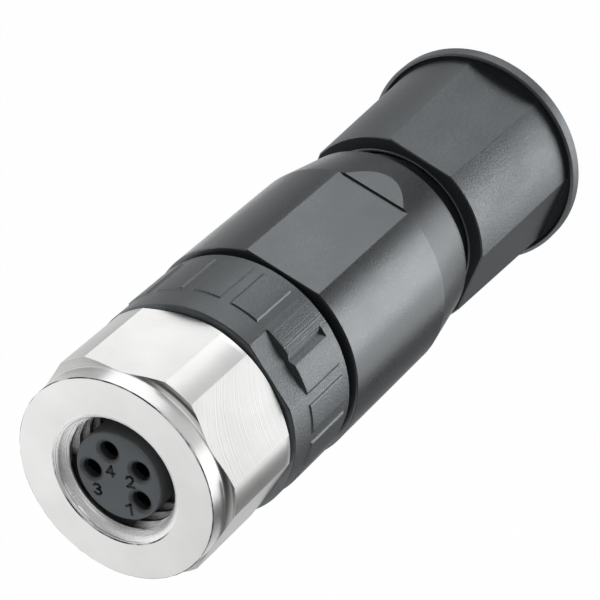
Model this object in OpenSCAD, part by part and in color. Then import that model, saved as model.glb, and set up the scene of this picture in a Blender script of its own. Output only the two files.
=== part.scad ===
// Circular sensor connector: a straight four-pole cable socket with an M8 screw coupling.
// It stands on the flange of its clamp nut with the mating face up. The axis is Z, and the
// origin is the middle of the flange's underside. Sizes are in millimetres.

/* [Coupling nut] */
// Length of the coupling nut
nut_len = 7.65; // [7.4:0.05:8.4]
// Distance across the six milled flats
nut_flats = 12.6; // [12.5:0.1:12.9]
// Diameter over the rounded corners between the flats
nut_corner_d = 13.6; // [13.5:0.1:14]
// Diameter of the round collar at the front
nut_collar_d = 12.5; // [12:0.1:12.5]
// Length of the round collar, up to the hollow in front of the corners
nut_collar_len = 1.05; // [0.8:0.05:1.5]
// Radius of the hollow between the collar and the corners
nut_hollow_r = 0.4; // [0.3:0.05:0.5]
// Bevel at the rear of the corners
nut_bevel = 0.5; // [0.3:0.05:0.6]
// Angle of one corner about the axis
nut_turn = 18.75; // [0:1.25:58.75]
// Nominal diameter of the coupling thread
thread_d = 8; // [7.9:0.05:8.1]
// Length of the coupling thread
thread_len = 5.3; // [5:0.1:5.4]

/* [Socket insert] */
// Diameter of the socket that enters the mating plug
socket_d = 5.5; // [5.4:0.02:5.6]
// How far the socket's face lies below the nut's face
face_recess = 0.35; // [0.2:0.05:0.8]
// Distance between contacts 1 and 3
wide_pitch = 3.32; // [3.2:0.02:3.4]
// Distance between contacts 2 and 4
narrow_pitch = 2.1; // [2:0.02:2.2]
// Distance of contacts 1 and 3 from the axis, across their row
wide_offset = 0.8; // [0.76:0.02:0.86]
// Distance of contacts 2 and 4 from the axis, across their row
narrow_offset = 1.05; // [1:0.02:1.1]
// Diameter of the funnel in front of each contact
funnel_d = 1.42; // [1.3:0.02:1.46]
// Depth of the funnel
funnel_depth = 0.35; // [0.2:0.05:0.45]

/* [Contacts] */
// Inside diameter of the contact sockets
pin_bore_d = 1.04; // [1.02:0.01:1.06]
// Outside diameter of the contact sockets
contact_d = 1.4; // [1.36:0.02:1.44]
// Depth of the contact sockets
pin_bore_len = 6; // [5:0.25:7]
// Diameter of the hole for a wire
wire_d = 1.5; // [1.45:0.05:1.6]
// Diameter of the clamping screws
screw_d = 1.3; // [1.1:0.05:1.35]
// Diameter of the screw heads
screw_head_d = 2; // [1.8:0.05:2.1]

/* [Grip body] */
// Diameter of the grip's plain bands
grip_d = 13.56; // [13.4:0.02:13.8]
// Length of the grip
grip_len = 6.09; // [5.9:0.05:6.6]
// Height of the grip pads above the bands
pad_rise = 0.14; // [0.06:0.02:0.2]
// Plain band in front of the pads
front_band = 1.81; // [1.6:0.05:2]
// Plain band behind the pads
rear_band = 0.63; // [0.5:0.05:0.8]
// Pad places around the grip, two of them taken by the marked pad
pad_places = 17; // [13:1:21]
// Angle of the groove between two pads
pad_gap_deg = 5.8; // [4:0.2:7]
// Angle of the marked pad about the axis
mark_turn = 235.25; // [0:0.25:359.75]
// Width of the keying groove in the marked pad
mark_w = 0.76; // [0.5:0.02:0.9]
// Depth of the flat in front of the marked pad
mark_flat_depth = 0.33; // [0.2:0.01:0.4]

/* [Rear housing] */
// Diameter of the housing
housing_d = 14; // [13.8:0.05:14.4]
// Length of the housing, without its neck
housing_len = 14.76; // [14.5:0.1:16]
// Length of the taper at the rear
taper_len = 4.13; // [3.5:0.1:4.5]
// Diameter at the rear end of the taper
taper_end_d = 12.66; // [12.5:0.05:12.8]
// Depth of the marking flats, measured on the radius
flat_depth = 0.44; // [0.36:0.01:0.5]
// Height of the step at the rear of the marking flats
flat_step = 0.12; // [0.06:0.01:0.16]
// Joint between the housing and the grip
front_gap = 0.54; // [0.45:0.01:0.6]
// Length of the threaded joint between the housing and the grip body
skirt_len = 3.5; // [3:0.1:3.6]

/* [Clamp nut] */
// Length of the clamp nut
clamp_len = 12.06; // [11.8:0.05:12.6]
// Diameter at the front of the clamp nut
clamp_front_d = 13.06; // [12.95:0.02:13.2]
// Diameter at the rear of the clamp nut, in front of the flange
clamp_rear_d = 13.8; // [13.6:0.02:14]
// Distance across the four flats at the front
clamp_flats_front = 12.28; // [12.2:0.02:12.4]
// Distance across the four flats at the rear
clamp_flats_rear = 12.8; // [12.7:0.02:12.9]
// Turn of the clamp nut's flats against the marking flats
clamp_turn = -1.5; // [-10:0.5:10]
// Diameter of the flange
flange_d = 14.8; // [14.4:0.05:15.4]
// Thickness of the flange
flange_t = 0.6; // [0.5:0.05:0.8]
// Joint between the clamp nut and the housing
rear_gap = 1.71; // [1.5:0.05:2]

/* [Cable gland] */
// Diameter of the cable entry
cable_d = 5.5; // [5.2:0.05:5.6]
// Diameter of the threaded neck
neck_d = 10.7; // [10.6:0.05:10.8]
// Length of the neck
neck_len = 7.57; // [7.4:0.05:7.6]
// Diameter of the room for the cable seal in the neck
seal_room_d = 8.4; // [8.2:0.05:8.5]
// Fingers of the pinch ring
finger_count = 6; // [4:1:8]

/* [Fits] */
// Play on the radius where pieces turn in each other
run_fit = 0.06; // [0.04:0.005:0.08]
// Play on the radius where pieces are pushed together
push_fit = 0.02; // [0.01:0.005:0.03]
// Play on the radius where a loose piece lies in a room
loose_fit = 0.05; // [0.03:0.01:0.07]

/* [Hidden] */
$fn = 96;
eps = 0.01;
cut = 1;
far = 40;

// Heights from the underside of the flange up to the nut's face
housing_z = clamp_len + rear_gap;
housing_top = housing_z + housing_len;
grip_z = housing_top + front_gap;
grip_top = grip_z + grip_len;
nut_play = 0.09;
nut_z = grip_top + nut_play;
nut_top = nut_z + nut_len;
face_z = nut_top - face_recess;

// Radii of the outside
nut_r = nut_corner_d/2;
collar_r = nut_collar_d/2;
grip_r = grip_d/2;
pad_r = grip_r + pad_rise;
housing_r = housing_d/2;
thread_r = thread_d/2;
socket_r = socket_d/2;
neck_r = neck_d/2;
cable_r = cable_d/2;

// Front body: the nose turns inside the coupling nut, the skirt screws into the housing
nose_r = thread_r + 0.55;
nose_len = 1.9;
nose_top = grip_top + nose_len;
skirt_r = housing_r - 1.1;
skirt_z = grip_z - skirt_len;
chamber_r = skirt_r - 0.75;
chamber_top = grip_top - 1.15;
thread_depth = 0.3;
land = 0.4;

// Snap ring between the nose and the coupling nut
snap_h = 0.5;
snap_w = 0.5;
snap_in_r = nose_r - snap_w/2;
snap_z = grip_top + 0.7;
snap_gap_deg = 32;

// Socket insert
shoulder_r = socket_r + 0.45;
face_bevel = 0.1;
contact_cover = 0.2;
insert_flange_t = 1.6;
insert_z = chamber_top - insert_flange_t;
contact_r = contact_d/2;
contact_top = face_z - funnel_depth - contact_cover;
plug_seal_r = 0.3;
foot_depth = 0.1;
socket_z = nose_top + 2*plug_seal_r + loose_fit;

// Terminals: a cage for each wire, on a circle around the axis
cage_in = 1.9;
cage_out = 4.25;
cage_w = 2.4;
cage_len = 7;
wire_place = cage_in + 0.2 + wire_d/2;
wire_room = 3;
carrier_z = housing_z + wire_room;
carrier_r = cage_out + 0.65;
carrier_band = 3.4;
cage_floor = 2.7;
cage_z = carrier_z + cage_floor;
cage_top = cage_z + cage_len;
screw_rise = 2.6;
screw_z = cage_z + screw_rise;
wire_funnel_w = 0.35;
wire_funnel_h = 0.8;
screw_len = 0.95;
screw_head_t = 0.45;
screw_slot_w = 0.3;
screw_slot_t = 0.22;
stem_r = 0.45;
bar_w = 0.96;
bar_t = 1;
contact_collar_t = 0.8;
contact_collar_r = contact_r + 0.12;

// Housing inside
joint_bore_r = skirt_r + run_fit;
cavity_r = carrier_r + 0.5;
cavity_z = housing_z + 0.6;
taper_top = housing_z + taper_len;
neck_z = housing_z - neck_len;
seal_room_top = housing_z - 1.35;
flat_dist = housing_r - flat_depth;

// Cable gland
pinch_seat = 1.8;
seal_top = seal_room_top - push_fit;
seal_z = neck_z + pinch_seat;
pinch_top = seal_z;
pinch_r = seal_room_d/2 - loose_fit;
pinch_reach = 3.2;
pinch_land = 0.6;
pinch_tip_wall = 0.55;
pinch_z = neck_z - pinch_reach;
pinch_cone_z = neck_z - pinch_land;
pinch_tip_r = cable_r + pinch_tip_wall;
finger_slot = 0.5;
finger_root = 0.6;
clamp_bore_r = neck_r + run_fit;
clamp_floor = pinch_z - 0.1;

// Place of a contact: 1 and 3 in the wide row, 2 and 4 in the narrow row
function contact_place(i) =
    let (side = i < 3 ? -1 : 1)
    i % 2 == 1 ? [side*wide_pitch/2, wide_offset] : [side*narrow_pitch/2, -narrow_offset];

// Angle of the terminal that belongs to a contact
function cage_turn(i) = [135, 225, 45, 315][i - 1];

// A contact's place seen from its terminal: outwards, then across
function seen_from_cage(i) =
    let (p = contact_place(i), t = cage_turn(i))
    [p[0]*cos(t) + p[1]*sin(t), p[1]*cos(t) - p[0]*sin(t)];

// Points of a hollow quarter round from the collar to the face in front of the corners
function hollow_points(r, z, size, steps = 8) =
    [for (k = [0:steps]) let (a = 90*k/steps) [r + size - size*cos(a), z - size*sin(a)]];

// Round bar or hole between two heights
module bar(r, z0, z1) {
    translate([0, 0, z0]) cylinder(r = r, h = z1 - z0);
}

// Round bar that changes its radius between two heights
module cone(r0, r1, z0, z1) {
    translate([0, 0, z0]) cylinder(r1 = r0, r2 = r1, h = z1 - z0);
}

// Part of a flat ring between two angles
module ring_piece(r_in, r_out, z0, z1, from, width) {
    rotate([0, 0, from])
        rotate_extrude(angle = width)
            translate([r_in, z0]) square([r_out - r_in, z1 - z0]);
}

// Round cord bent to a ring
module o_ring(r, section_r, z) {
    rotate_extrude() translate([r, z]) circle(r = section_r);
}

// Plated nut: round collar, six flats on round stock, inside thread left as a plain bore
module coupling_nut() {
    collar_end = nut_top - nut_collar_len;
    edge = 0.06;
    outline = concat(
        [[0, nut_z], [nut_r - nut_bevel, nut_z], [nut_r, nut_z + nut_bevel],
         [nut_r, collar_end - nut_hollow_r]],
        [for (k = [8:-1:0]) hollow_points(collar_r, collar_end, nut_hollow_r)[k]],
        [[collar_r, nut_top - edge], [collar_r - edge, nut_top], [0, nut_top]]);
    color("silver") difference() {
        intersection() {
            rotate_extrude() polygon(outline);
            rotate([0, 0, nut_turn])
                translate([0, 0, nut_z - cut])
                    cylinder(r = nut_flats/2/cos(30), h = nut_len + 2*cut, $fn = 6);
        }
        bar(thread_r, nut_z - 1, nut_top + 1);
        cone(thread_r, thread_r + 0.06, nut_top - 0.06, nut_top + eps);
        bar(nose_r + run_fit, nut_z - 1, nut_top - thread_len);
        bar(snap_in_r + snap_w + 0.1, snap_z - 0.1, snap_z + snap_h + 0.1);
    }
}

// Open spring ring in the nose's groove
module nut_snap_ring() {
    color("gray")
        ring_piece(snap_in_r, snap_in_r + snap_w, snap_z, snap_z + snap_h,
                   90 + snap_gap_deg/2, 360 - snap_gap_deg);
}

// O-ring at the foot of the socket
module plug_seal() {
    color("black") o_ring(socket_r - foot_depth + plug_seal_r + eps, plug_seal_r, nose_top + plug_seal_r);
}

// Plastic insert with a funnel and a room for each contact
module socket_insert() {
    color("slategray") difference() {
        union() {
            cone(socket_r, socket_r - face_bevel, face_z - face_bevel, face_z);
            bar(socket_r, socket_z, face_z - face_bevel);
            bar(socket_r - foot_depth, nose_top - eps, socket_z + eps);
            bar(shoulder_r, chamber_top - eps, nose_top);
            bar(chamber_r - loose_fit, insert_z, chamber_top);
        }
        for (i = [1:4])
            translate(contact_place(i)) {
                cone(pin_bore_d/2 + eps, funnel_d/2, face_z - funnel_depth, face_z + eps);
                bar(pin_bore_d/2 + eps, contact_top - eps, face_z);
                bar(contact_r + push_fit, insert_z - 1, contact_top);
            }
    }
}

// Brass socket with its stem, bar and terminal cage
module contact(i) {
    local = seen_from_cage(i);
    color("goldenrod") difference() {
        union() {
            translate(contact_place(i)) {
                bar(contact_r, insert_z - eps, contact_top);
                bar(contact_collar_r, insert_z - contact_collar_t, insert_z);
                bar(stem_r, cage_top - bar_t/2, insert_z);
            }
            rotate([0, 0, cage_turn(i)]) {
                translate([local[0] - bar_w/2, local[1] - bar_w/2, cage_top - bar_t])
                    cube([wire_place - local[0] + bar_w/2, bar_w, bar_t]);
                translate([cage_in, -cage_w/2, cage_z])
                    cube([cage_out - cage_in, cage_w, cage_len]);
            }
        }
        translate(contact_place(i)) bar(pin_bore_d/2, contact_top - pin_bore_len, contact_top + 1);
        rotate([0, 0, cage_turn(i)]) {
            translate([wire_place, 0, 0]) bar(wire_d/2, cage_z - 1, cage_top - bar_t - 0.5);
            translate([wire_place, 0, screw_z])
                rotate([0, 90, 0]) cylinder(d = screw_d, h = far);
        }
    }
}

// Plastic block with a pocket for each terminal, open to the front
module terminal_carrier() {
    color("dimgray") difference() {
        union() {
            bar(carrier_r, carrier_z, insert_z);
            bar(chamber_r - loose_fit, insert_z - carrier_band, insert_z);
        }
        for (i = [1:4]) {
            local = seen_from_cage(i);
            translate(contact_place(i))
                bar(contact_collar_r + loose_fit, insert_z - contact_collar_t - loose_fit, insert_z + 1);
            rotate([0, 0, cage_turn(i)]) {
                translate([cage_in - push_fit, -cage_w/2 - push_fit, cage_z])
                    cube([cage_out - cage_in + 2*push_fit, cage_w + 2*push_fit, insert_z - cage_z + 1]);
                translate([local[0] - bar_w/2 - loose_fit, local[1] - bar_w/2 - loose_fit,
                           cage_top - bar_t - loose_fit])
                    cube([wire_place - local[0] + bar_w/2, bar_w + 2*loose_fit, insert_z]);
                translate([wire_place, 0, 0]) {
                    bar(wire_d/2, carrier_z - cut, cage_z + cut);
                    cone(wire_d/2 + wire_funnel_w, wire_d/2, carrier_z - eps, carrier_z + wire_funnel_h);
                }
                translate([cage_out - 0.1, 0, screw_z])
                    rotate([0, 90, 0]) cylinder(d = screw_head_d + 0.2, h = far);
            }
        }
    }
}

// Slotted screws in the four terminals
module terminal_screws() {
    color("lightgray")
        for (i = [1:4])
            rotate([0, 0, cage_turn(i)])
                translate([cage_out, 0, screw_z]) rotate([0, 90, 0]) difference() {
                    union() {
                        cylinder(d = screw_head_d, h = screw_head_t);
                        translate([0, 0, -screw_len])
                            cylinder(r = screw_d/2 - push_fit, h = screw_len + eps);
                    }
                    translate([-screw_head_d, -screw_slot_w/2, screw_head_t - screw_slot_t])
                        cube([2*screw_head_d, screw_slot_w, screw_head_t]);
                }
}

// Raised pads around the grip: the marked pad takes two places
module grip_pads() {
    place = 360/pad_places;
    pad_from = grip_z + rear_band;
    pad_to = grip_top - front_band;
    marked = 2*place - pad_gap_deg;
    ring_piece(grip_r - 0.5, pad_r, pad_from, pad_to, mark_turn - marked/2, marked);
    for (k = [1:pad_places - 2])
        ring_piece(grip_r - 0.5, pad_r, pad_from, pad_to,
                   mark_turn + k*place + pad_gap_deg/2, place - pad_gap_deg);
}

// Front body: nose for the nut, grip with pads and keying mark, threaded skirt
module grip_body() {
    groove_z = grip_z + rear_band + 0.18;
    color("dimgray") difference() {
        union() {
            bar(nose_r, grip_top - eps, nose_top);
            bar(grip_r, grip_z, grip_top);
            grip_pads();
            bar(skirt_r, grip_z - land, grip_z + eps);
            bar(skirt_r - thread_depth, skirt_z + land - eps, grip_z);
            bar(skirt_r, skirt_z, skirt_z + land);
        }
        difference() {
            bar(nose_r + 1, snap_z - push_fit, snap_z + snap_h + push_fit);
            bar(snap_in_r, snap_z - 1, snap_z + snap_h + 1);
        }
        bar(shoulder_r + push_fit, chamber_top - 1, nose_top + 1);
        bar(chamber_r, skirt_z - 1, chamber_top);
        rotate([0, 0, mark_turn]) {
            translate([grip_r - mark_flat_depth, -far/2, grip_top - front_band])
                cube([far, far, far]);
            translate([pad_r, 0, groove_z])
                rotate([0, 0, 45])
                    translate([-mark_w/2/sqrt(2), -mark_w/2/sqrt(2), 0])
                        cube([mark_w/sqrt(2), mark_w/sqrt(2), far]);
        }
    }
}

// O-ring between the grip body and the housing
module housing_seal() {
    section_r = front_gap/2 - push_fit/2;
    color("black") o_ring(skirt_r + section_r + push_fit, section_r, grip_z - section_r);
}

// Flats for marking, on two sides, with a low step at the rear
module marking_flats() {
    for (side = [-90, 90])
        rotate([0, 0, side]) {
            translate([flat_dist, -far/2, taper_top]) cube([far, far, far]);
            translate([flat_dist + flat_step, -far/2, housing_z]) cube([far, far, far]);
        }
}

// Housing sleeve with its taper, marking flats and threaded neck
module rear_housing() {
    color("dimgray") difference() {
        union() {
            difference() {
                union() {
                    cone(taper_end_d/2, housing_r, housing_z, taper_top);
                    bar(housing_r, taper_top - eps, housing_top);
                }
                marking_flats();
            }
            bar(neck_r, housing_z - land - 0.6, housing_z + eps);
            bar(neck_r - thread_depth, neck_z + land - eps, housing_z);
            bar(neck_r, neck_z, neck_z + land);
        }
        bar(joint_bore_r, skirt_z - 0.6, housing_top + 1);
        bar(cavity_r, cavity_z, housing_top);
        bar(cable_r + 0.3, seal_room_top - 1, cavity_z + 1);
        bar(seal_room_d/2, neck_z - 1, seal_room_top);
    }
}

// Rubber sleeve around the cable
module cable_seal() {
    color("black") difference() {
        bar(seal_room_d/2 - push_fit, seal_z, seal_top);
        bar(cable_r - 0.2, seal_z - 1, seal_top + 1);
    }
}

// Collet with tapered fingers
module pinch_ring() {
    color("gainsboro") difference() {
        union() {
            bar(pinch_r, pinch_cone_z, pinch_top);
            cone(pinch_tip_r, pinch_r, pinch_z, pinch_cone_z);
        }
        bar(cable_r + 0.2, pinch_z - 1, pinch_top + 1);
        for (k = [0:finger_count - 1])
            rotate([0, 0, k*360/finger_count])
                translate([0, -finger_slot/2, pinch_z - cut])
                    cube([far, finger_slot, pinch_cone_z - pinch_z + finger_root + cut]);
    }
}

// One of the clamp nut's flats, leaning with the draft of the nut
module clamp_flat() {
    lean = atan((clamp_flats_rear - clamp_flats_front)/2/(clamp_len - flange_t));
    translate([clamp_flats_rear/2, -far/2, flange_t])
        rotate([0, -lean, 0]) cube([far, far, far]);
}

// Nut with four flats, a flange to stand on and a seat for the pinch ring
module clamp_nut() {
    seat_play = 0.12;
    lip = 0.35;
    color("dimgray") difference() {
        union() {
            difference() {
                cone(clamp_rear_d/2, clamp_front_d/2, flange_t - eps, clamp_len);
                for (k = [0:3]) rotate([0, 0, clamp_turn + 90*k]) clamp_flat();
            }
            bar(flange_d/2, 0, flange_t);
        }
        bar(clamp_bore_r, pinch_cone_z, clamp_len + 1);
        cone(clamp_bore_r, clamp_bore_r + 0.12, clamp_len - 0.12, clamp_len + eps);
        cone(pinch_tip_r + seat_play, pinch_r + seat_play, clamp_floor, pinch_cone_z + eps);
        bar(cable_r, -1, clamp_floor + 1);
        cone(cable_r + lip, cable_r, -eps, lip);
    }
}

coupling_nut();
nut_snap_ring();
plug_seal();
socket_insert();
contact(1);  // contact_1
contact(2);  // contact_2
contact(3);  // contact_3
contact(4);  // contact_4
terminal_carrier();
terminal_screws();
grip_body();
housing_seal();
rear_housing();
cable_seal();
pinch_ring();
clamp_nut();
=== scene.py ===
"""Looks of a circular sensor connector: a straight four-pole cable socket with an M8 screw coupling."""

import math

import bmesh
import bpy
from mathutils import Matrix, Vector
from mathutils.geometry import delaunay_2d_cdt


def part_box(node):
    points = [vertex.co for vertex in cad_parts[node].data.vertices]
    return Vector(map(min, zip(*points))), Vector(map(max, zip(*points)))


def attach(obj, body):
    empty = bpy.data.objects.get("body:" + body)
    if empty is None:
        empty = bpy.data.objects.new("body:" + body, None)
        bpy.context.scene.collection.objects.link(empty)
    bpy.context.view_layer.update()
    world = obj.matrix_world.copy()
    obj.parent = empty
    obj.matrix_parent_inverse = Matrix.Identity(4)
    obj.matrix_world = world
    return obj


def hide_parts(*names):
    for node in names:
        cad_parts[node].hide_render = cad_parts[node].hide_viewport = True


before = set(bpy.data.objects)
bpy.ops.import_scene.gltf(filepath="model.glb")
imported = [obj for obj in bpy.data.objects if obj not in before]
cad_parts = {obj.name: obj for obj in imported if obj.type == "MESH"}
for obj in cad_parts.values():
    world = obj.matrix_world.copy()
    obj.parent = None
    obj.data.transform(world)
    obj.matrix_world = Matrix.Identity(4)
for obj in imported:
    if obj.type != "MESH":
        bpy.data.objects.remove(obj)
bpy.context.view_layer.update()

# Lengths are in millimetres, heights from the underside of the flange, and angles in degrees
MM = 0.001
# Edges that turn by more than this stay crisp
CRISP_TURN = 28


def node_heights(name):
    """Lowest and highest height of a solid in the frame."""
    low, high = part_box(name)
    return round(low[2] / MM, 3), round(high[2] / MM, 3)


# Mesh helpers

def new_object(name, verts, faces, body):
    """A smooth mesh object with crisp edges, riding on a body."""
    mesh = bpy.data.meshes.new(name)
    mesh.from_pydata([(x * MM, y * MM, z * MM) for x, y, z in verts], [], faces)
    bm = bmesh.new()
    bm.from_mesh(mesh)
    bmesh.ops.recalc_face_normals(bm, faces=bm.faces)
    bm.to_mesh(mesh)
    bm.free()
    for polygon in mesh.polygons:
        polygon.use_smooth = True
    mesh.set_sharp_from_angle(angle=math.radians(CRISP_TURN))
    obj = bpy.data.objects.new(name, mesh)
    bpy.context.scene.collection.objects.link(obj)
    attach(obj, body)
    return obj


def turned(name, columns, body):
    """A closed turned form from closed columns of (angle, r, z), all with the same number of points."""
    verts = []
    for column in columns:
        for angle, r, z in column:
            t = math.radians(angle)
            verts.append((r * math.cos(t), r * math.sin(t), z))
    faces = []
    rows = len(columns[0])
    for j in range(len(columns)):
        here = j * rows
        beside = (j + 1) % len(columns) * rows
        for i in range(rows):
            m = (i + 1) % rows
            faces.append((here + i, beside + i, beside + m, here + m))
    return new_object(name, verts, faces, body)


def flat_half(r, dist):
    """Half the angle that a flat at a distance from the axis takes from a circle."""
    return math.degrees(math.acos(dist / r))


class Station:
    """Where one column stands: at a share of a flat, from -1 to 1, or of the arc after it, from 0 to 1."""

    def __init__(self, middle, pitch, on_flat, share):
        self.middle = middle
        self.pitch = pitch
        self.on_flat = on_flat
        self.share = share

    def off(self, half):
        """Angle from the middle of a flat that reaches half to each side."""
        if self.on_flat:
            return half * self.share
        return half + (self.pitch - 2 * half) * self.share

    def plain(self, r, z, half):
        """Point of a round stretch, spaced as if it had flats."""
        return self.middle + self.off(half), r, z

    def cut(self, r, z, dist, half):
        """Point of a stretch that has a flat at a distance from the axis."""
        off = self.off(half)
        if self.on_flat:
            r = min(r, dist / math.cos(math.radians(off)))
        return self.middle + off, r, z


def stations(count, first, flat_shares, arc_shares):
    """Stations all round a form with equal flats, the middle of the first one at a given angle."""
    pitch = 360 / count
    out = []
    for k in range(count):
        middle = first + pitch * k
        out += [Station(middle, pitch, True, share) for share in flat_shares]
        out += [Station(middle, pitch, False, share) for share in arc_shares]
    return out


def quarter(r, z, size, start, steps):
    """Points of a quarter circle about (r, z), clockwise from a start angle."""
    turns = [math.radians(start - 90 * k / steps) for k in range(steps + 1)]
    return [(r + size * math.cos(t), z + size * math.sin(t)) for t in turns]


def heights(start, end, step):
    """Even heights from start down to just above end."""
    return [start - step * k for k in range(math.ceil((start - end) / step))]


def clamped(x):
    return min(1.0, max(0.0, x))


def smooth_step(x):
    x = clamped(x)
    return x * x * (3 - 2 * x)


THREAD_CREST, THREAD_ROOT = 0.25, 0.12


def thread_height(angle, z, pitch):
    """Share of the depth of a right-handed thread at an angle and height: 0 in the root, 1 on the crest."""
    phase = (z / pitch - angle / 360.0) % 1.0
    off = abs(2 * phase - 1)
    return clamped((off - THREAD_ROOT) / (1 - THREAD_CREST - THREAD_ROOT))


# Coupling nut: round stock with six milled flats, a collar, a hollow behind it and an inside thread

NUT_Z, NUT_TOP = node_heights("coupling_nut")
NUT_R = 6.80
NUT_FLATS, NUT_FLAT, NUT_TURN = 6, 6.30, 18.75
NUT_BEVEL = 0.50
COLLAR_R, COLLAR_END = 6.28, 41.85
HOLLOW = 0.40
LEDGE_Z = COLLAR_END - HOLLOW
NUT_BEARING_R = 4.61
NUT_THREAD_Z, NUT_THREAD_R = 37.60, 3.98
NUT_THREAD_DEPTH, NUT_PITCH = 0.53, 1.0
# The countersink falls fast to a step, and slower below it
MOUTH_R, MOUTH_FALL = 4.08, 1.6
MOUTH_STEP, MOUTH_FALL_LOW = 0.18, 0.7
# Half angles that space the columns where the nut is round: in general, at the collar's end and at the flats
NUT_SPACING, COLLAR_SPACING, FLAT_SPACING = 15, 5, 0.8
FACE_RADII = (4.09, 4.14, 4.7, 5.3, 5.8, 6.1)
# Turns round the hollow, closest where the flats begin to cut into it, and the last turn before that
HOLLOW_TURNS = (4, 8, 11.5, 14.5, 16.4, 17.6, 18.0, 18.4, 19.2, 21, 24, 28,
                33, 39, 46, 53, 61, 69, 77, 84, 90)
HOLLOW_UNCUT = 17.6
BEVEL_RADII = (6.79, 6.75, 6.7, 6.65, 6.6, 6.55, 6.5, 6.45, 6.4, 6.36, 6.33, 6.312, 6.302)


def ease(n):
    """Places from 0 to just under 1, closer together at both ends."""
    return [(1 - math.cos(math.pi * k / n)) / 2 for k in range(n)]


def rim_radius(angle):
    """Rounding of the collar's front edge, a little worn and nicked around the rim."""
    t = math.radians(angle)
    nick = math.sin(17 * t + 0.6) * math.sin(29 * t + 2.0) + 0.6 * math.sin(41 * t + 1.0)
    return 0.055 + 0.045 * max(0.0, nick - 0.35)


def nut_rows():
    """The nut's outside behind the rim: (r, z, half angle that spaces the columns where no flat is cut)."""
    rows = []
    collar_from, collar_steps = NUT_TOP - 0.13, 12
    for k in range(1, collar_steps + 1):
        share = k / collar_steps
        half = NUT_SPACING + (COLLAR_SPACING - NUT_SPACING) * share
        rows.append((COLLAR_R, collar_from + (COLLAR_END - collar_from) * share, half))
    for turn in HOLLOW_TURNS:
        t = math.radians(turn)
        half = COLLAR_SPACING + (FLAT_SPACING - COLLAR_SPACING) * min(turn, HOLLOW_UNCUT) / HOLLOW_UNCUT
        rows.append((COLLAR_R + HOLLOW - HOLLOW * math.cos(t), COLLAR_END - HOLLOW * math.sin(t), half))
    for back, below in ((0.08, 0), (0.03, 0), (0.01, 0.005), (0, 0.02), (0, 0.06)):
        rows.append((NUT_R - back, LEDGE_Z - below, 0))
    side_from, side_to, side_steps = LEDGE_Z - 0.06, NUT_Z + NUT_BEVEL + 0.02, 14
    for k in range(1, side_steps + 1):
        rows.append((NUT_R, side_from + (side_to - side_from) * k / side_steps, 0))
    for r in BEVEL_RADII:
        rows.append((r, NUT_Z + NUT_BEVEL - (NUT_R - r), 0))
    for r, half in ((6.26, 2), (6.0, 5), (5.6, 9), (5.2, 12), (NUT_BEARING_R + 0.07, NUT_SPACING)):
        rows.append((r, NUT_Z, half))
    for z in (NUT_Z + 0.06, 35.8, 36.4, 37.0, NUT_THREAD_Z - 0.04):
        rows.append((NUT_BEARING_R, z, NUT_SPACING))
    return rows


def nut_bore(angle, z):
    """Radius inside the nut at an angle and height."""
    deep = NUT_TOP - z
    mouth = MOUTH_R - MOUTH_FALL * min(deep, MOUTH_STEP) - MOUTH_FALL_LOW * max(0.0, deep - MOUTH_STEP)
    return max(NUT_THREAD_R - NUT_THREAD_DEPTH * thread_height(angle, z, NUT_PITCH), mouth)


def nut_columns():
    rows = nut_rows()
    bore = [NUT_THREAD_Z + NUT_PITCH / 16 * k for k in range(83)]
    bore += [NUT_TOP - deep for deep in (0.12, 0.10, 0.06, 0.02)]
    columns = []
    flat_shares = [2 * u - 1 for u in ease(26)]
    for place in stations(NUT_FLATS, NUT_TURN + 180 / NUT_FLATS, flat_shares, ease(20)):
        angle = place.middle + place.off(NUT_SPACING)
        column = [(angle, r, NUT_TOP) for r in FACE_RADII]
        edge = rim_radius(angle)
        column += [(angle, r, z) for r, z in quarter(COLLAR_R - edge, NUT_TOP - edge, edge, 90, 6)]
        for r, z, half in rows:
            if r > NUT_FLAT:
                column.append(place.cut(r, z, NUT_FLAT, flat_half(r, NUT_FLAT)))
            else:
                column.append(place.plain(r, z, half))
        column += [(angle, nut_bore(angle, z), z) for z in bore]
        columns.append(column)
    return columns


nut = turned("nut_shell", nut_columns(), "nut")
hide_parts("coupling_nut")


# Grip body: bands, raised pads, the keying groove with the flat in front of it, threaded skirt and nose

SKIRT_Z, NOSE_TOP = node_heights("grip_body")
GRIP_Z, GRIP_TOP, GRIP_R = 29.07, 35.16, 6.78
PAD_R, PAD_FROM, PAD_TO = 6.87, 29.70, 33.35
PAD_PLACES, PAD_GAP = 17, 5.8
# Half widths of the soft edges at the ends and the sides of a pad
PAD_END = 0.055
PAD_SIDE = math.degrees(0.085 / PAD_R)
# The mark is a groove along its pad, and a flat that begins with a hollow foot
MARK_TURN, MARK_REACH = 235.25, 30
MARK_WIDE, MARK_FALL = 0.76, 0.62
MARK_REAR, MARK_REAR_EDGE = 0.15, 0.06
MARK_FLAT, MARK_FOOT = 0.33, 0.32
NOSE_R, NOSE_BORE = 4.55, 3.24
RING_GROOVE_R, RING_GROOVE_Z, RING_GROOVE_TOP = 4.31, 35.84, 36.38
SKIRT_R, SKIRT_BORE, SKIRT_FLOOR = 5.90, 5.15, 34.01
SKIRT_THREAD_R, SKIRT_THREAD_DEPTH, SKIRT_PITCH = 5.60, 0.28, 0.75
SKIRT_THREAD_Z, SKIRT_THREAD_TOP, SKIRT_RUN_OUT = 25.95, 28.68, 0.12


def pad_edges():
    """First and last angle of each pad, the double one with the mark first."""
    place = 360 / PAD_PLACES
    wide = 2 * place - PAD_GAP
    pads = [(MARK_TURN - wide / 2, MARK_TURN + wide / 2)]
    for k in range(1, PAD_PLACES - 1):
        start = MARK_TURN + k * place + PAD_GAP / 2
        pads.append((start, start + place - PAD_GAP))
    return pads


PADS = pad_edges()


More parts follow.
